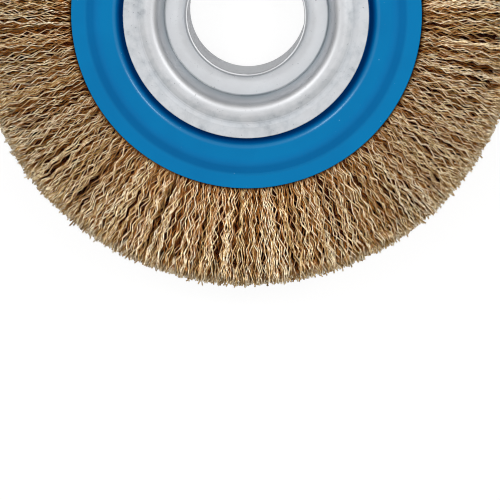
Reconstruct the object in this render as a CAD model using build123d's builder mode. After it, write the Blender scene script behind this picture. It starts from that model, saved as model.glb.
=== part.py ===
from build123d import *
from math import pi
import os

# Crimped wire wheel for a bench grinder. The wheel lies flat, its axis is Z, and
# the origin is the centre of the bore, halfway across the wheel. Every radius is
# built up outwards from the bore, and every height from the middle plane.

# Driving dimensions, in millimetres
wheel_diameter = 150.0  # over the wire tips
face_width = 22.0  # across the brushing face, at the wire tips
bore_diameter = 31.75  # arbor hole
grip_width = 10.4  # wire held between the two plates, at their rims

# Bore sleeve, a steel tube that stands up in the pockets of the flanges
sleeve_wall = 0.95
sleeve_proud = 4.2  # above the pocket floor
lip_round = 0.3  # inner edge of each end
lip_slope_width = 0.5  # each end slopes down to its outer edge
lip_slope_height = 0.35

# Spacer ring on the sleeve, which keeps the two flanges apart
spacer_width = 6.8
spacer_wall = 4.0
spacer_clearance = 0.05

# Hub flanges, pressed from galvanised sheet
flange_sheet = 1.0
pocket_floor_width = 5.9  # flat ring round the sleeve
pocket_wall_run = 2.2  # the pocket wall leans outwards by this much
pocket_depth = 5.75  # from the crest of the bead down to the pocket floor
crest_width = 2.2  # top of the bead
bead_fall_width = 1.8
bead_height = 0.6  # crest above the valley outside it
valley_width = 0.6
valley_rise_width = 1.0
valley_depth = 0.12  # valley below the outer land
outer_land_width = 2.95
pocket_bend = 0.6  # radii of the bends, at the middle of the sheet
crest_bend = 2.0
bead_bend = 3.0
valley_bend = 1.0
rim_round = 0.25  # broken edge of a sheet rim

# Face plates, pressed from painted sheet
plate_sheet = 1.0
seat_width = 2.6  # ring that the flange clamps, at the hole of the plate
groove_fall_width = 2.4
groove_width = 1.0  # floor of the groove under the rim of the flange
groove_rise_width = 2.2
crown_width = 4.6  # raised band
plate_step = 1.9  # crown above the groove and above the outer band
step_width = 3.1  # sloping band between crown and outer band
outer_band_width = 3.95
seat_bend = 1.0  # radii of the bends, at the middle of the sheet
groove_bend = 0.7
shoulder_bend = 2.4
crown_bend = 3.0
foot_bend = 2.2

# Wire rows, each folded round its own hoop so that two legs of wire point outwards
row_count = 3
row_clearance = 0.2
hoop_rod = 1.6
hoop_clearance = 0.1
hoop_depth = 16.4  # from the rim of the plates in to the middle of the hoop rod
fold_wall = 1.0  # thickness of the fold behind the hoop
leg_gap = 0.3  # between the two legs of a row, at the plates
lock_root = 1.2  # the locks start this far inside the rim of the plates
lock_start = 0.4  # the wire is still pressed together this far past the rim
outer_lock_count = 60  # in the legs next to the plates
inner_lock_count = 30  # in the legs between them
lock_lengths = 3  # locks of this many lengths take turns round the wheel
outer_lock_spans = 4  # straight runs between the bends of the crimp
inner_lock_spans = 2
lock_fill = 0.84  # share of the way round that is wire, the rest is gap
tip_fill = 0.7
crimp_height = 0.6  # each bend lies this far off the radius, to either side
trim_variation = 0.8  # the shorter locks end this far inside the longest ones
face_crown = 0.9  # the outer legs end this far inside the inner ones

# Radii, from the bore outwards
bore_radius = bore_diameter / 2
sleeve_radius = bore_radius + sleeve_wall
pocket_radius = sleeve_radius + pocket_floor_width
crest_radius = pocket_radius + pocket_wall_run
bead_foot_radius = crest_radius + crest_width + bead_fall_width
valley_end_radius = bead_foot_radius + valley_width
land_radius = valley_end_radius + valley_rise_width
flange_radius = land_radius + outer_land_width

seat_radius = bead_foot_radius - (seat_width - valley_width) / 2
seat_end_radius = seat_radius + seat_width
groove_radius = seat_end_radius + groove_fall_width
groove_end_radius = groove_radius + groove_width
crown_radius = groove_end_radius + groove_rise_width
crown_end_radius = crown_radius + crown_width
step_foot_radius = crown_end_radius + step_width
plate_radius = step_foot_radius + outer_band_width

wheel_radius = wheel_diameter / 2
fan_radius = plate_radius + lock_start
hoop_radius = plate_radius - hoop_depth
fold_radius = hoop_radius - hoop_rod / 2 - hoop_clearance - fold_wall

# Heights of the front side, from the middle plane
floor_height = spacer_width / 2 + flange_sheet
sleeve_height = floor_height + sleeve_proud
crest_height = floor_height + pocket_depth
valley_height = crest_height - bead_height
land_height = valley_height + valley_depth
seat_height = valley_height - flange_sheet
band_height = grip_width / 2 + plate_sheet
crown_height = band_height + plate_step
face_half = face_width / 2
row_thickness = (grip_width - (row_count - 1) * row_clearance) / row_count
row_pitch = row_thickness + row_clearance


def bore_sleeve():
    """Tube through the wheel, its ends rounded on the inside and sloped outwards."""
    upper_half = [
        (bore_radius, 0),
        (bore_radius, sleeve_height),
        (sleeve_radius - lip_slope_width, sleeve_height),
        (sleeve_radius, sleeve_height - lip_slope_height),
        (sleeve_radius, 0),
    ]
    with BuildPart() as sleeve:
        with BuildSketch(Plane.XZ) as wall:
            with BuildLine():
                Polyline(*upper_half, close=True)
            make_face()
            mirror(about=Plane.XZ)
            fillet(wall.vertices().group_by(Axis.X)[0], radius=lip_round)
        revolve(axis=Axis.Z)
    return sleeve.part


def hub_spacer():
    """Plain ring on the sleeve. The floors of both flange pockets bear on it."""
    inner = sleeve_radius + spacer_clearance
    with BuildPart() as spacer:
        with BuildSketch(Plane.XZ):
            with Locations((inner + spacer_wall / 2, 0)):
                Rectangle(spacer_wall, spacer_width)
        revolve(axis=Axis.Z)
    return spacer.part


def pressed_disc(outline, bends, sheet):
    """Sheet disc spun from its section: a bent line, thickened to the sheet. The
    outline is the outer face, and the bent line lies half a sheet below it."""
    middle = [(radius, height - sheet / 2) for radius, height in outline]
    with BuildPart() as disc:
        with BuildSketch(Plane.XZ):
            with BuildLine():
                FilletPolyline(*middle, radius=bends)
            trace(line_width=sheet)
        revolve(axis=Axis.Z)
        rim = disc.edges().filter_by(GeomType.CIRCLE).group_by(SortBy.RADIUS)[-1]
        fillet(rim.sort_by(Axis.Z)[-1], radius=rim_round)
    return disc.part


def hub_flange():
    """Front flange: pocket round the sleeve, rounded bead, valley and outer land."""
    outline = [
        (sleeve_radius, floor_height),
        (pocket_radius, floor_height),
        (crest_radius, crest_height),
        (crest_radius + crest_width, crest_height),
        (bead_foot_radius, valley_height),
        (valley_end_radius, valley_height),
        (land_radius, land_height),
        (flange_radius, land_height),
    ]
    bends = [pocket_bend, crest_bend, bead_bend, valley_bend, valley_bend, valley_bend]
    return pressed_disc(outline, bends, flange_sheet)


def face_plate():
    """Front plate: seat under the flange, groove, raised crown and outer band."""
    outline = [
        (seat_radius, seat_height),
        (seat_end_radius, seat_height),
        (groove_radius, band_height),
        (groove_end_radius, band_height),
        (crown_radius, crown_height),
        (crown_end_radius, crown_height),
        (step_foot_radius, band_height),
        (plate_radius, band_height),
    ]
    bends = [seat_bend, groove_bend, groove_bend, shoulder_bend, crown_bend, foot_bend]
    return pressed_disc(outline, bends, plate_sheet)


def retaining_hoop(middle):
    """Round steel hoop that a row of wire is folded over, middle being its height."""
    with BuildPart() as hoop:
        with BuildSketch(Plane.XZ):
            with Locations((hoop_radius, middle)):
                Circle(hoop_rod / 2)
        revolve(axis=Axis.Z)
    return hoop.part


def spread(height, radius):
    """Height that wire at this height between the plates has fanned out to."""
    share = (radius - fan_radius) / (wheel_radius - fan_radius)
    return height * (1 + max(share, 0) * (face_half / (grip_width / 2) - 1))


def wire_lock(low, high, tip_radius, spans, count, first_side):
    """One lock of crimped wire: a bar that bends from side to side as it fans out."""
    foot = plate_radius - lock_root
    run = (tip_radius - fan_radius) / spans
    with BuildPart() as lock:
        for station in range(spans + 2):
            radius = foot if station == 0 else fan_radius + run * (station - 1)
            side = 0 if station == 0 else first_side * (-1) ** station
            fill = tip_fill if station == spans + 1 else lock_fill
            bottom = spread(low, radius)
            top = spread(high, radius)
            with BuildSketch(Plane(origin=(radius, 0, 0), x_dir=(0, 1, 0), z_dir=(1, 0, 0))):
                with Locations((side * crimp_height, (bottom + top) / 2)):
                    Rectangle(2 * pi * radius / count * fill, top - bottom)
        loft(ruled=True)
    return lock.part


def wire_row(middle, lower_count, upper_count):
    """Row of wire whose two legs fan out from the fold round its hoop."""
    half = row_thickness / 2
    legs = [
        (middle - half, middle - leg_gap / 2, lower_count, -1),
        (middle + leg_gap / 2, middle + half, upper_count, 1),
    ]
    kinds = []
    for low, high, count, first_side in legs:
        is_outer = count == outer_lock_count
        spans = outer_lock_spans if is_outer else inner_lock_spans
        longest = wheel_radius - face_crown if is_outer else wheel_radius
        for kind in range(lock_lengths):
            tip_radius = longest - trim_variation * kind / (lock_lengths - 1)
            lock = wire_lock(low, high, tip_radius, spans, count, first_side)
            kinds.append((lock, count, 360 / count * kind))

    with BuildPart() as row:
        with BuildSketch(Plane.XZ):
            with Locations((fold_radius, middle)):
                Rectangle(plate_radius - fold_radius, 2 * half, align=(Align.MIN, Align.CENTER))
            with Locations((hoop_radius, middle)):
                Circle(hoop_rod / 2 + hoop_clearance, mode=Mode.SUBTRACT)
                slot_length = plate_radius - hoop_radius
                Rectangle(slot_length, leg_gap, align=(Align.MIN, Align.CENTER), mode=Mode.SUBTRACT)
        revolve(axis=Axis.Z)
        for lock, count, start_angle in kinds:
            with PolarLocations(0, count // lock_lengths, start_angle=start_angle):
                add(lock)
    return row.part


def write(part, name):
    part.label = name
    export_step(part, f"parts/{name}.step")


def back(part):
    """The same piece on the back of the wheel."""
    return mirror(part, about=Plane.XY)


os.makedirs("parts", exist_ok=True)

write(bore_sleeve(), "bore_sleeve")
write(hub_spacer(), "hub_spacer")

flange = hub_flange()
write(flange, "hub_flange_front")
write(back(flange), "hub_flange_back")

plate = face_plate()
write(plate, "face_plate_front")
write(back(plate), "face_plate_back")

front_row = wire_row(row_pitch, inner_lock_count, outer_lock_count)
write(front_row, "wire_row_front")
write(back(front_row), "wire_row_back")
write(wire_row(0, inner_lock_count, inner_lock_count), "wire_row_middle")

write(retaining_hoop(row_pitch), "retaining_hoop_front")
write(retaining_hoop(0), "retaining_hoop_middle")
write(retaining_hoop(-row_pitch), "retaining_hoop_back")
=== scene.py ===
import bpy
import math
import numpy as np
from mathutils import Matrix, Vector


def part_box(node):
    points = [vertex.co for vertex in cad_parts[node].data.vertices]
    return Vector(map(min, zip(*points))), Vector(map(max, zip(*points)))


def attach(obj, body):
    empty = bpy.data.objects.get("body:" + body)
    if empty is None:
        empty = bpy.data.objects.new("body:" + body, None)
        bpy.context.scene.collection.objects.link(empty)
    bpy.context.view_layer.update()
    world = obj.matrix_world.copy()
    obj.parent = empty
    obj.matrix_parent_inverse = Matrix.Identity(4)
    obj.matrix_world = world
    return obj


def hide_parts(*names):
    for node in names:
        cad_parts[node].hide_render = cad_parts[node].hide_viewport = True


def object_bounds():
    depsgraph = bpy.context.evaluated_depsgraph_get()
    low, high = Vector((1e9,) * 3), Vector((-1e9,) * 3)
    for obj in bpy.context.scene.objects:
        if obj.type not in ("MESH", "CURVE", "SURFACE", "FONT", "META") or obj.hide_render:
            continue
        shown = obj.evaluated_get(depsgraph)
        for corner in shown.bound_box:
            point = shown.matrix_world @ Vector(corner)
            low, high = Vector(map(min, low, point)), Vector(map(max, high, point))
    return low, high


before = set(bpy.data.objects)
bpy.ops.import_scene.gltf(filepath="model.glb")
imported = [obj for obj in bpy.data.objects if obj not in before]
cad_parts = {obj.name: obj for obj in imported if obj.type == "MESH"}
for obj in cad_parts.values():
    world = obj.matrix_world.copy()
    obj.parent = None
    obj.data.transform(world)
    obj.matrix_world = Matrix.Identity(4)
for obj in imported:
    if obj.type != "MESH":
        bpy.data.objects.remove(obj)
cad_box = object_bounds()

# Crimped wire wheel, lying flat with its axis along Z. Lengths are in metres.
MM = 0.001
SEED = 41


def reach(node):
    """Outer radius of a round CAD node, half of its width along X."""
    low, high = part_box(node)
    return (high[0] - low[0]) / 2


def top(node):
    """Highest point of a CAD node."""
    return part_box(node)[1][2]


# Sizes read from the frame
PLATE_RADIUS = reach("face_plate_front")
FLANGE_RADIUS = reach("hub_flange_front")
WHEEL_RADIUS = reach("wire_row_middle")
FACE_HALF = top("wire_row_front")
ROW_SPLIT = top("wire_row_middle")
GRIP_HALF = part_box("face_plate_front")[0][2]  # the wire under the rim of the plate

# The wire, crimped into straight runs between bends
WIRE_DIAMETER = 0.47 * MM
BEND_HEIGHT = 0.6 * MM  # a bend lies this far off the line of its wire
BEND_RANGE = (0.3, 1.3)  # from the flattest bend to the highest, as shares of that
BEND_SHIFT = 0.2  # a bend comes this much of a run too early or too late at most
BEND_DRIFT = 0.2 * MM  # the line itself wanders by this much from bend to bend
FREE_SHARE = 0.125  # the plates keep the bends flat over this share of the fan
FACE_RUNS = 12  # in a whole wire
RIM_RUNS = 2  # in a short end

# Where the wires lie
FACE_LOCKS = 1500  # under each face
WIRES_PER_LOCK = 3
FACE_DEPTH = 2.2 * MM  # layer of whole wires under each face
ROOT_DEPTH = 1.5 * MM  # the whole wires reach this far in between the plates
RIM_WIRES = 6500  # in each row, short ends that fill the rim
RIM_WIRE_LENGTH = 4.5 * MM
FACE_CROWN = 0.9 * MM  # the wire at the faces is cut this much shorter
CORE_DEPTH = 3.2 * MM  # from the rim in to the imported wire
CORE_ROOT = 10 * MM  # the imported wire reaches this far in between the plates
CORE_STEPS = 240

# How the wires differ: means and spreads of normal distributions
LOCK_PLACE = (0.5, 0.35)  # round the wheel, in widths of a lock
LOCK_LEAN = 0.04  # slope off the radius
WIRE_LEAN = 0.1
WIRE_PHASE = 0.35  # within a lock, in runs
WIRE_TURN = 0.5  # of the plane of the bends out of the face, in radians
LOCK_TRIM = 0.3 * MM
FACE_TRIM = (0.85 * MM, 0.45 * MM)  # a tip ends this far inside the longest ones
RIM_TRIM = (1.0 * MM, 0.5 * MM)

# Painted shade in the wire: darker deeper under the face and near the rim of the plates
SHADE_DEPTH = 1.9 * MM  # painted shade: the wire is darkest from this depth under the face on
RIM_LIGHT = 3  # behind the cut ends at the rim the painted shade comes on this many times deeper
ROOT_SHADE = 1.4 * MM  # painted shade also darkens the wire this far out from the rim of the plates

# The camera, aimed at a point on the wheel from almost straight above
AIM = Vector((0.82, -65.8, 0.0)) * MM
CAMERA_DISTANCE = 1.5
CAMERA_LEAN_Y = math.radians(9.19)
CAMERA_LEAN_X = math.radians(1.80)
LENS = 392.6
FRAME_WIDTH = 36.0

# The softboxes
SOFTBOX_WIDTH = 0.2
SOFTBOX_POWER = 1.4
SOFTBOX_DISTANCE = 0.9


def rgb(code):
    """Linear colour from an sRGB hex code."""
    parts = [int(code[i : i + 2], 16) / 255 for i in (1, 3, 5)]
    linear = [p / 12.92 if p <= 0.04045 else ((p + 0.055) / 1.055) ** 2.4 for p in parts]
    return (*linear, 1.0)


def add(tree, kind, settings=None, links=None, stops=()):
    """Adds a node. Settings are its properties or sockets, links the sockets that feed
    it, and stops the places and hex colours of a colour ramp."""
    node = tree.nodes.new(kind)
    for key, value in (settings or {}).items():
        if isinstance(key, str) and hasattr(node, key):
            setattr(node, key, value)
        else:
            node.inputs[key].default_value = value
    for key, source in (links or {}).items():
        tree.links.new(source, node.inputs[key])
    if stops:
        elements = node.color_ramp.elements
        while len(elements) < len(stops):
            elements.new(0.5)
        for element, (position, code) in zip(elements, stops):
            element.position = position
            element.color = rgb(code)
    return node


def blank(name):
    """A new material with an empty node tree."""
    material = bpy.data.materials.new(name)
    material.use_nodes = True
    material.node_tree.nodes.clear()
    return material, material.node_tree


def axis_distance(tree, place):
    """Socket that gives how far a place on the object lies from the wheel's axis."""
    flat = add(tree, "ShaderNodeVectorMath", {"operation": "MULTIPLY", 1: (1.0, 1.0, 0.0)}, {0: place})
    radius = add(tree, "ShaderNodeVectorMath", {"operation": "LENGTH"}, {0: flat.outputs["Vector"]})
    return radius.outputs["Value"]


def rings(start, end, stops):
    """Stops of a colour ramp from one distance to another, each given by its distance."""
    return [((distance - start) / (end - start), code) for distance, code in stops]


def brass_coated_wire():
    """High-carbon steel wire, drawn bright with a thin brass coat: warm straw metal with cream glints, each
    wire a little paler or browner than its neighbours, with painted shade that darkens it the deeper it lies
    under the face and near the rim of the plates."""
    material, tree = blank("brass_coated_steel_wire_drawn")
    wire = add(tree, "ShaderNodeNewGeometry")
    shade = add(tree, "ShaderNodeValToRGB", links={"Fac": wire.outputs["Random Per Island"]},
                stops=[(0.0, "#9c7844"), (0.2, "#d8b67e"), (0.5, "#f6e3bc"), (1.0, "#fdf3de")])
    place = add(tree, "ShaderNodeTexCoord").outputs["Object"]
    radius = axis_distance(tree, place)

    # Depth under the face or behind the rim, as a share of half the face width, for the painted shade among
    # the packed wires
    face = add(tree, "ShaderNodeMapRange",
               {"From Min": PLATE_RADIUS, "From Max": WHEEL_RADIUS, "To Min": GRIP_HALF, "To Max": FACE_HALF},
               {"Value": radius})
    parts = add(tree, "ShaderNodeSeparateXYZ", links={"Vector": place})
    height = add(tree, "ShaderNodeMath", {"operation": "ABSOLUTE"}, {0: parts.outputs["Z"]})
    share = add(tree, "ShaderNodeMath", {"operation": "DIVIDE"},
                {0: height.outputs[0], 1: face.outputs["Result"]})
    under_face = add(tree, "ShaderNodeMath", {"operation": "SUBTRACT", 0: 1.0}, {1: share.outputs[0]})
    under_rim = add(tree, "ShaderNodeMapRange",
                    {"From Min": WHEEL_RADIUS - RIM_LIGHT * FACE_HALF, "From Max": WHEEL_RADIUS,
                     "To Min": 1.0, "To Max": 0.0},
                    {"Value": radius})
    under = add(tree, "ShaderNodeMath", {"operation": "MINIMUM"},
                {0: under_face.outputs[0], 1: under_rim.outputs["Result"]})
    depth = add(tree, "ShaderNodeMapRange", {"From Max": SHADE_DEPTH / FACE_HALF},
                {"Value": under.outputs[0]})
    # painted shade: the wire darkens with depth, where the packed wires shade one another
    depth_shade = add(tree, "ShaderNodeValToRGB", links={"Fac": depth.outputs["Result"]}, stops=[
        (0.0, "#ffffff"), (0.35, "#ffffff"), (0.6, "#b8864e"), (0.85, "#562602"), (1.0, "#360e00"),
    ])

    # Stains and thin spots in the coat, about two wires wide
    patches = add(tree, "ShaderNodeTexNoise", {"Scale": 1 / (0.9 * MM), "Detail": 2.0}, {"Vector": place})
    stains = add(tree, "ShaderNodeValToRGB", links={"Fac": patches.outputs["Fac"]},
                 stops=[(0.42, "#ffffff"), (0.66, "#d0bca0")])
    stained = add(tree, "ShaderNodeMix", {"data_type": "RGBA", "blend_type": "MULTIPLY", "Factor": 1.0},
                  {"A": shade.outputs["Color"], "B": stains.outputs["Color"]})

    # Painted shade where the wire leaves the plates, standing in for the shadow of their rims
    root = add(tree, "ShaderNodeMapRange",
               {"From Min": PLATE_RADIUS, "From Max": PLATE_RADIUS + ROOT_SHADE}, {"Value": radius})
    root_shade = add(tree, "ShaderNodeValToRGB", links={"Fac": root.outputs["Result"]},
                   stops=[(0.1, "#66502e"), (0.45, "#d4c0a0"), (1.0, "#ffffff")])
    root_shaded = add(tree, "ShaderNodeMix", {"data_type": "RGBA", "blend_type": "MULTIPLY", "Factor": 1.0},
                 {"A": stained.outputs["Result"], "B": root_shade.outputs["Color"]})
    coat = add(tree, "ShaderNodeMix", {"data_type": "RGBA", "blend_type": "MULTIPLY", "Factor": 1.0},
               {"A": root_shaded.outputs["Result"], "B": depth_shade.outputs["Color"]})
    metal = add(tree, "ShaderNodeBsdfPrincipled", {"Metallic": 0.9, "Roughness": 0.3},
                {"Base Color": coat.outputs["Result"]})
    add(tree, "ShaderNodeOutputMaterial", links={"Surface": metal.outputs[0]})
    return material


def packed_wire_in_painted_shade():
    """The wire deep in a row, packed tight and coloured near-black brown as painted shade, so it reads as the
    shadow between the bright wires."""
    material, tree = blank("brass_coated_steel_wire_packed_painted_shade")
    place = add(tree, "ShaderNodeTexCoord").outputs["Object"]
    grain = add(tree, "ShaderNodeTexNoise", {"Scale": 1 / (1.2 * MM), "Detail": 5.0}, {"Vector": place})
    # painted shade: near-black colours for the packed wire
    shade = add(tree, "ShaderNodeValToRGB", links={"Fac": grain.outputs["Fac"]},
                stops=[(0.35, "#080200"), (0.55, "#1a0a00"), (0.75, "#301800")])
    rough = add(tree, "ShaderNodeBump", {"Strength": 0.8, "Distance": 0.4 * MM},
                {"Height": grain.outputs["Fac"]})
    metal = add(tree, "ShaderNodeBsdfPrincipled",
                {"Metallic": 0.0, "Roughness": 0.9, "Specular IOR Level": 0.1},
                {"Base Color": shade.outputs["Color"], "Normal": rough.outputs["Normal"]})
    add(tree, "ShaderNodeOutputMaterial", links={"Surface": metal.outputs[0]})
    return material


def blue_enamel():
    """Pressed steel with sprayed blue enamel, stoved: an even mid blue with a wet gloss, a faint orange peel,
    a few specks of dust under the gloss, painted shade in the groove beside the flange and on the step down
    to the outer band, and a whiter reflection tint on the shoulder where the lamps' glint falls."""
    material, tree = blank("blue_enamel_stoved")
    place = add(tree, "ShaderNodeTexCoord").outputs["Object"]
    clouds = add(tree, "ShaderNodeTexNoise", {"Scale": 1 / (14 * MM), "Detail": 2.0}, {"Vector": place})
    paint = add(tree, "ShaderNodeValToRGB", links={"Fac": clouds.outputs["Fac"]},
                stops=[(0.35, "#0074af"), (0.65, "#007ab5")])
    dust = add(tree, "ShaderNodeTexVoronoi", {"Scale": 1 / (2.6 * MM)}, {"Vector": place})
    specks = add(tree, "ShaderNodeValToRGB", links={"Fac": dust.outputs["Distance"]},
                 stops=[(0.04, "#ffffff"), (0.075, "#000000")])
    scatter = add(tree, "ShaderNodeTexNoise", {"Scale": 1 / (9 * MM), "Detail": 1.0}, {"Vector": place})
    where = add(tree, "ShaderNodeValToRGB", links={"Fac": scatter.outputs["Fac"]},
                stops=[(0.47, "#000000"), (0.62, "#c8c8c8")])
    amount = add(tree, "ShaderNodeMath", {"operation": "MULTIPLY"},
                 {0: specks.outputs["Color"], 1: where.outputs["Color"]})
    dusty = add(tree, "ShaderNodeMix", {"data_type": "RGBA", "B": rgb("#6fb4dc")},
                {"Factor": amount.outputs[0], "A": paint.outputs["Color"]})

    # Painted shade, by distance from the rim of the flange in millimetres: in the groove beside the flange,
    # under its rim, and on the step down to the outer band
    span = 12.0
    across = add(tree, "ShaderNodeMapRange",
                 {"From Min": FLANGE_RADIUS, "From Max": FLANGE_RADIUS + span * MM},
                 {"Value": axis_distance(tree, place)})
    groove_and_step_shade = add(tree, "ShaderNodeValToRGB", links={"Fac": across.outputs["Result"]}, stops=rings(0, span, [
        (1.0, "#809cc5"), (1.6, "#b0c5e1"), (2.1, "#f0f3f8"), (2.4, "#ffffff"),
        (5.76, "#ffffff"), (8.16, "#deeefa"), (9.6, "#deeefa"), (10.8, "#ffffff"),
    ]))
    coat = add(tree, "ShaderNodeMix", {"data_type": "RGBA", "blend_type": "MULTIPLY", "Factor": 1.0},
               {"A": dusty.outputs["Result"], "B": groove_and_step_shade.outputs["Color"]})
    # Painted highlight: a whiter reflection tint on the shoulder beside the groove, placed where the lamps'
    # glint falls
    gloss = add(tree, "ShaderNodeValToRGB", links={"Fac": across.outputs["Result"]}, stops=rings(0, span, [
        (1.86, "#78c8ff"), (2.28, "#d0ecff"), (2.82, "#d0ecff"), (3.12, "#78c8ff"),
    ]))
    peel = add(tree, "ShaderNodeTexNoise", {"Scale": 1 / (1.1 * MM), "Detail": 1.0}, {"Vector": place})
    skin = add(tree, "ShaderNodeBump", {"Strength": 0.05, "Distance": 0.2 * MM},
               {"Height": peel.outputs["Fac"]})
    enamel = add(tree, "ShaderNodeBsdfPrincipled",
                 {"Roughness": 0.22, "IOR": 1.5, "Specular IOR Level": 0.5},
                 {"Base Color": coat.outputs["Result"], "Specular Tint": gloss.outputs["Color"],
                  "Normal": skin.outputs["Normal"]})
    add(tree, "ShaderNodeOutputMaterial", links={"Surface": enamel.outputs[0]})
    return material


def galvanised_steel():
    """Pressed sheet with a bright zinc coat: pale satin grey, softly clouded, with the
    grey smudges and fine specks that handling and stacking leave on it."""
    material, tree = blank("galvanised_steel_pressed")
    place = add(tree, "ShaderNodeTexCoord").outputs["Object"]
    radius = axis_distance(tree, place)
    clouds = add(tree, "ShaderNodeTexNoise", {"Scale": 1 / (7 * MM), "Detail": 6.0, "Roughness": 0.6},
                 {"Vector": place})
    zinc = add(tree, "ShaderNodeValToRGB", links={"Fac": clouds.outputs["Fac"]},
               stops=[(0.3, "#d8d9db"), (0.5, "#e1e2e4"), (0.7, "#e8e9eb")])
    grit = add(tree, "ShaderNodeTexNoise", {"Scale": 1 / (0.7 * MM), "Detail": 4.0}, {"Vector": place})
    specks = add(tree, "ShaderNodeValToRGB", links={"Fac": grit.outputs["Fac"]},
                 stops=[(0.66, "#ffffff"), (0.76, "#8f9396")])
    marked = add(tree, "ShaderNodeMix", {"data_type": "RGBA", "blend_type": "MULTIPLY", "Factor": 0.5},
                 {"A": zinc.outputs["Color"], "B": specks.outputs["Color"]})

    # Painted shade by radius in millimetres, from the bore outwards: the darker wall of the bore, the bright
    # lip of the sleeve, painted shade at its outer edge and foot, the floor of the pocket, painted shade in
    # the corner at the foot of its wall, the bead a touch darker, painted shade in the valley, the outer land
    # a little darker
    start, end = 15.0, 31.0
    across = add(tree, "ShaderNodeMapRange", {"From Min": start * MM, "From Max": end * MM},
                 {"Value": radius})
    zinc_shade_rings = add(tree, "ShaderNodeValToRGB", links={"Fac": across.outputs["Result"]}, stops=rings(start, end, [
        (15.8, "#d4d6d8"), (15.92, "#ffffff"), (16.3, "#ffffff"), (16.44, "#ccd0d3"),
        (17.4, "#f4f6f8"), (17.88, "#fafbfc"), (21.9, "#eceef0"), (22.25, "#949da2"),
        (22.7, "#d4dce0"), (23.64, "#ffffff"), (24.92, "#ffffff"), (26.04, "#f0f1f2"),
        (27.16, "#fafafb"), (28.44, "#f4f6f7"), (29.4, "#dadde0"), (31.0, "#f0f2f4"),
    ]))
    amount = add(tree, "ShaderNodeMapRange", {"From Min": 0.3, "From Max": 0.6, "To Min": 0.5},
                 {"Value": clouds.outputs["Fac"]})
    zinc_shaded = add(tree, "ShaderNodeMix", {"data_type": "RGBA", "blend_type": "MULTIPLY"},
                {"Factor": amount.outputs["Result"], "A": marked.outputs["Result"],
                 "B": zinc_shade_rings.outputs["Color"]})

    # Smudges from handling, outside the crest of the bead
    handled = add(tree, "ShaderNodeTexNoise", {"Scale": 1 / (4 * MM), "Detail": 5.0, "Roughness": 0.6},
                  {"Vector": place})
    smudge = add(tree, "ShaderNodeValToRGB", links={"Fac": handled.outputs["Fac"]},
                 stops=[(0.42, "#ffffff"), (0.58, "#f0f2f3"), (0.7, "#d4d7da")])
    outer = add(tree, "ShaderNodeMapRange", {"From Min": 26.0 * MM, "From Max": 27.5 * MM},
                {"Value": radius})
    smudged = add(tree, "ShaderNodeMix", {"data_type": "RGBA", "blend_type": "MULTIPLY"},
                  {"Factor": outer.outputs["Result"], "A": zinc_shaded.outputs["Result"],
                   "B": smudge.outputs["Color"]})
    sheen = add(tree, "ShaderNodeMapRange", {"To Min": 0.44, "To Max": 0.56},
                {"Value": clouds.outputs["Fac"]})
    skin = add(tree, "ShaderNodeBump", {"Strength": 0.06, "Distance": 0.15 * MM},
               {"Height": grit.outputs["Fac"]})
    metal = add(tree, "ShaderNodeBsdfPrincipled", {"Metallic": 0.9},
                {"Base Color": smudged.outputs["Result"], "Roughness": sheen.outputs["Result"],
                 "Normal": skin.outputs["Normal"]})
    add(tree, "ShaderNodeOutputMaterial", links={"Surface": metal.outputs[0]})
    return material


def drawn_steel():
    """Plain drawn steel, oiled: an even dark grey with a soft shine, on the hoops and
    the spacer inside the wheel."""
    material, tree = blank("plain_steel_drawn")
    place = add(tree, "ShaderNodeTexCoord").outputs["Object"]
    grain = add(tree, "ShaderNodeTexNoise", {"Scale": 1 / (2 * MM), "Detail": 4.0}, {"Vector": place})
    shade = add(tree, "ShaderNodeValToRGB", links={"Fac": grain.outputs["Fac"]},
                stops=[(0.35, "#7d7f81"), (0.7, "#a9abad")])
    metal = add(tree, "ShaderNodeBsdfPrincipled", {"Metallic": 1.0, "Roughness": 0.38},
                {"Base Color": shade.outputs["Color"]})
    add(tree, "ShaderNodeOutputMaterial", links={"Surface": metal.outputs[0]})
    return material


def fan_share(radius):
    """How far the wire has fanned out: 0 at the rim of the plates, 1 at the tips."""
    return np.clip((radius - PLATE_RADIUS) / (WHEEL_RADIUS - PLATE_RADIUS), 0, 1)


def fan_half(radius):
    """Half of the wheel's thickness at a radius."""
    return GRIP_HALF + (FACE_HALF - GRIP_HALF) * fan_share(radius)


def crown(height):
    """How much shorter the wire is cut at a height than in the middle of the wheel."""
    return FACE_CROWN * (height / FACE_HALF) ** 2


def crimped_paths(rng, angle, height, tip, lean, phase, plane, length, runs):
    """Points of crimped wires, one row of points a wire, from the tip inwards. Height is
    where a wire lies at the tips, from the middle plane, phase counts runs from the first
    bend to the cut tip, and plane turns the bends out of the face."""
    size = (len(angle), runs + 1)
    bends = np.arange(runs + 1)
    whole = np.floor(phase)[:, None]
    cut = phase[:, None] - whole
    run = length / (runs - cut)
    radius = tip[:, None] + (cut - bends + rng.uniform(-BEND_SHIFT, BEND_SHIFT, size)) * run
    side = np.where((bends + whole) % 2, BEND_HEIGHT, -BEND_HEIGHT) * rng.uniform(*BEND_RANGE, size)
    radius[:, 0] = tip
    side[:, 0] += (side[:, 1] - side[:, 0]) * cut[:, 0]
    drift = np.cumsum(rng.normal(0, BEND_DRIFT, size), axis=1)
    free = np.clip(fan_share(radius) / FREE_SHARE, 0, 1)
    sideways = side * np.cos(plane)[:, None] + lean[:, None] * (radius - PLATE_RADIUS) + drift
    upright = side * np.sin(plane)[:, None] * free
    edge = (WIRE_DIAMETER + BEND_HEIGHT) / 2  # keeps the outermost bends inside the face
    z = (height / FACE_HALF)[:, None] * (fan_half(radius) - edge) + upright
    x = radius * np.cos(angle)[:, None] - sideways * np.sin(angle)[:, None]
    y = radius * np.sin(angle)[:, None] + sideways * np.cos(angle)[:, None]
    return np.stack([x, y, z], axis=2)


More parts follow.
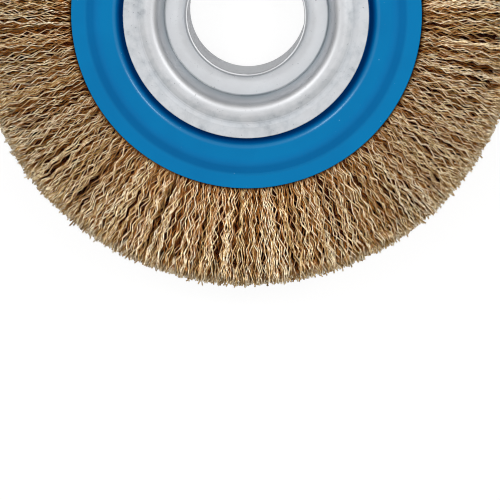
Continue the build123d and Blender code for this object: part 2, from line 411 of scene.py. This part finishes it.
def wire_mesh(name, paths):
    """One mesh of closed three-sided wires that follow the paths."""
    sides = 3
    count, stations, _ = paths.shape
    along = np.gradient(paths, axis=1)
    along /= np.linalg.norm(along, axis=2, keepdims=True)
    across = np.cross(along, [0.0, 0.0, 1.0])
    across /= np.linalg.norm(across, axis=2, keepdims=True)
    lift = np.cross(across, along)
    turns = math.pi / 2 + 2 * math.pi * np.arange(sides) / sides
    ring = across[:, :, None] * np.cos(turns)[:, None] + lift[:, :, None] * np.sin(turns)[:, None]
    points = (paths[:, :, None] + ring * WIRE_DIAMETER / 2).reshape(-1, 3)

    first = (np.arange(count)[:, None] * stations + np.arange(stations - 1)).ravel() * sides
    corner = np.arange(sides)
    following = (corner + 1) % sides
    quads = np.stack([corner, following, sides + following, sides + corner], axis=1)
    quads = (first[:, None, None] + quads).reshape(-1, 4)
    root = np.arange(count)[:, None] * stations * sides
    end = root + (stations - 1) * sides
    caps = np.concatenate([root + corner[::-1], end + corner])

    mesh = bpy.data.meshes.new(name)
    mesh.vertices.add(len(points))
    mesh.vertices.foreach_set("co", points.ravel())
    mesh.loops.add(quads.size + caps.size)
    mesh.loops.foreach_set("vertex_index", np.concatenate([quads.ravel(), caps.ravel()]))
    mesh.polygons.add(len(quads) + len(caps))
    starts = [np.arange(len(quads)) * 4, quads.size + np.arange(len(caps)) * sides]
    mesh.polygons.foreach_set("loop_start", np.concatenate(starts))
    mesh.polygons.foreach_set("use_smooth", np.arange(len(quads) + len(caps)) < len(quads))
    mesh.update(calc_edges=True)
    return mesh


def core_mesh(name, low, high):
    """Closed ring of packed wire under the drawn wires of a row."""
    inner = PLATE_RADIUS - CORE_ROOT
    outer = WHEEL_RADIUS - CORE_DEPTH
    sunk = (FACE_HALF - FACE_DEPTH) / FACE_HALF
    section = []
    for radius, height in [(inner, high), (PLATE_RADIUS, high), (outer, high),
                           (outer, low), (PLATE_RADIUS, low), (inner, low)]:
        section.append((radius, height / FACE_HALF * float(fan_half(radius)) * sunk))
    points = []
    faces = []
    size = len(section)
    for step in range(CORE_STEPS):
        turn = 2 * math.pi * step / CORE_STEPS
        points += [(radius * math.cos(turn), radius * math.sin(turn), height) for radius, height in section]
        here = step * size
        there = (step + 1) % CORE_STEPS * size
        for corner in range(size):
            after = (corner + 1) % size
            faces.append((here + corner, there + corner, there + after, here + after))
    mesh = bpy.data.meshes.new(name)
    mesh.from_pydata(points, [], faces)
    return mesh


def face_wires(rng, side):
    """Angles and paths of the whole wires of one face, in locks that share their lean
    and their bends."""
    wires = FACE_LOCKS * WIRES_PER_LOCK
    lock = np.repeat(np.arange(FACE_LOCKS), WIRES_PER_LOCK)
    angle = (lock + rng.normal(*LOCK_PLACE, wires)) * (2 * math.pi / FACE_LOCKS)
    lean = rng.normal(0, LOCK_LEAN, FACE_LOCKS)[lock] + rng.normal(0, WIRE_LEAN, wires)
    phase = rng.uniform(0, 2, FACE_LOCKS)[lock] + rng.normal(0, WIRE_PHASE, wires)
    plane = rng.normal(0, WIRE_TURN, wires)
    height = FACE_HALF - FACE_DEPTH * rng.uniform(0, 1, wires)
    trim = rng.normal(0, LOCK_TRIM, FACE_LOCKS)[lock] + rng.normal(*FACE_TRIM, wires)
    tip = WHEEL_RADIUS - crown(height) - trim
    length = WHEEL_RADIUS - PLATE_RADIUS + ROOT_DEPTH
    return angle, crimped_paths(rng, angle, side * height, tip, lean, phase, plane, length, FACE_RUNS)


def rim_wires(rng, low, high):
    """Paths of the short ends of the wires inside a row, which show at the rim."""
    angle = rng.uniform(0, 2 * math.pi, RIM_WIRES)
    lean = rng.normal(0, WIRE_LEAN, RIM_WIRES)
    phase = rng.uniform(0, 2, RIM_WIRES)
    plane = rng.uniform(0, math.pi, RIM_WIRES)
    height = rng.uniform(low, high, RIM_WIRES)
    tip = WHEEL_RADIUS - crown(height) - rng.normal(*RIM_TRIM, RIM_WIRES)
    return crimped_paths(rng, angle, height, tip, lean, phase, plane, RIM_WIRE_LENGTH, RIM_RUNS)


def stand_in(mesh, node, material):
    """Puts a mesh in the scene in the stead of a CAD row of wire, under its own name."""
    piece = bpy.data.objects.new(mesh.name, mesh)
    bpy.context.scene.collection.objects.link(piece)
    piece.data.materials.append(material)
    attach(piece, "root")
    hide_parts(node)


def wire_rows():
    """Replaces the three CAD rows by drawn wires over a dark packed core."""
    rng = np.random.default_rng(SEED)
    bright = brass_coated_wire()
    packed = packed_wire_in_painted_shade()
    rows = {
        "front": (ROW_SPLIT, FACE_HALF, 1),
        "middle": (-ROW_SPLIT, ROW_SPLIT, 0),
        "back": (-FACE_HALF, -ROW_SPLIT, -1),
    }
    for row, (low, high, side) in rows.items():
        node = f"wire_row_{row}"
        if side:
            angle, paths = face_wires(rng, side)
            far = np.sin(angle) > 0
            stand_in(wire_mesh(f"{row}_face_wires_far_half", paths[far]), node, bright)
            stand_in(wire_mesh(f"{row}_face_wires_near_half", paths[~far]), node, bright)
        stand_in(wire_mesh(f"{row}_rim_wires", rim_wires(rng, low, high)), node, bright)
        stand_in(core_mesh(f"{row}_packed_wires", low, high), node, packed)


def dress(nodes, material):
    """Gives CAD nodes their finish."""
    for node in nodes:
        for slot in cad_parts[node].material_slots:
            slot.material = material


def floor():
    """Pale floor under the wheel. Seen directly it is white and keeps the wheel's
    shadow, and for all other rays it is plain paper."""
    half = 3.0
    corners = [(-half, -half, 0), (half, -half, 0), (half, half, 0), (-half, half, 0)]
    mesh = bpy.data.meshes.new("studio_floor")
    mesh.from_pydata(corners, [], [(0, 1, 2, 3)])
    ground = bpy.data.objects.new("studio_floor", mesh)
    ground.location.z = cad_box[0][2]
    bpy.context.scene.collection.objects.link(ground)
    material, tree = blank("pale_studio_floor")
    paper = add(tree, "ShaderNodeBsdfDiffuse", {"Color": rgb("#f4f4f4")})
    glow = add(tree, "ShaderNodeEmission", {"Color": rgb("#ffffff"), "Strength": 0.89})
    shadow = add(tree, "ShaderNodeBsdfDiffuse", {"Color": rgb("#6e6e6e")})
    white = add(tree, "ShaderNodeAddShader", links={0: glow.outputs[0], 1: shadow.outputs[0]})
    ray = add(tree, "ShaderNodeLightPath")
    mixed = add(tree, "ShaderNodeMixShader",
                links={0: ray.outputs["Is Camera Ray"], 1: paper.outputs[0], 2: white.outputs[0]})
    add(tree, "ShaderNodeOutputMaterial", links={"Surface": mixed.outputs[0]})
    ground.data.materials.append(material)


def surround():
    """Light tent: pale overhead, grey toward the horizon, and white where the camera
    looks past the floor."""
    world = bpy.data.worlds.new("light_tent")
    world.use_nodes = True
    tree = world.node_tree
    tree.nodes.clear()
    direction = add(tree, "ShaderNodeTexCoord")
    parts = add(tree, "ShaderNodeSeparateXYZ", links={"Vector": direction.outputs["Generated"]})
    cloth = add(tree, "ShaderNodeValToRGB", links={"Fac": parts.outputs["Z"]}, stops=[
        (0.0, "#707070"), (0.35, "#9c9c9c"), (0.6, "#dadada"),
        (0.8, "#f0f0f0"), (0.94, "#e6e6e6"), (1.0, "#dadada"),
    ])
    ray = add(tree, "ShaderNodeLightPath")
    shown = add(tree, "ShaderNodeMix", {"data_type": "RGBA", "B": rgb("#ffffff")},
                {"Factor": ray.outputs["Is Camera Ray"], "A": cloth.outputs["Color"]})
    sky = add(tree, "ShaderNodeBackground", {"Strength": 1.0}, {"Color": shown.outputs["Result"]})
    add(tree, "ShaderNodeOutputWorld", links={"Surface": sky.outputs[0]})
    bpy.context.scene.world = world


def softbox(name, direction):
    """Square area lamp aimed at the wheel."""
    lamp = bpy.data.lights.new(name, "AREA")
    lamp.size = SOFTBOX_WIDTH
    lamp.energy = SOFTBOX_POWER
    light = bpy.data.objects.new(name, lamp)
    toward = Vector(direction).normalized()
    light.location = toward * SOFTBOX_DISTANCE
    light.rotation_euler = toward.to_track_quat("Z", "Y").to_euler()
    bpy.context.scene.collection.objects.link(light)


def camera():
    """The photograph's view: nearly along the axis, with the upper half out of frame."""
    data = bpy.data.cameras.new("camera")
    data.sensor_width = FRAME_WIDTH
    data.lens = LENS
    data.clip_start = 0.01
    data.clip_end = 20.0
    view = Vector((math.sin(CAMERA_LEAN_X), math.sin(CAMERA_LEAN_Y), 0))
    view.z = math.sqrt(1 - view.length_squared)
    right = Vector((0, 1, 0)).cross(view).normalized()
    turn = Matrix((right, view.cross(right), view)).transposed().to_4x4()
    body = bpy.data.objects.new("camera", data)
    body.matrix_world = Matrix.Translation(AIM + view * CAMERA_DISTANCE) @ turn
    bpy.context.scene.collection.objects.link(body)
    bpy.context.scene.camera = body


camera()
floor()
surround()
softbox("softbox_left", (-0.43, 0.32, 0.85))
softbox("softbox_right", (0.43, 0.26, 0.86))
wire_rows()
dress(["face_plate_front", "face_plate_back"], blue_enamel())
dress(["hub_flange_front", "hub_flange_back", "bore_sleeve"], galvanised_steel())
dress(["hub_spacer", "retaining_hoop_front", "retaining_hoop_middle", "retaining_hoop_back"], drawn_steel())
bpy.context.scene.view_settings.view_transform = "Standard"
bpy.context.scene.cycles.filter_width = 1.0  # narrow, so edges are as sharp as in the photograph
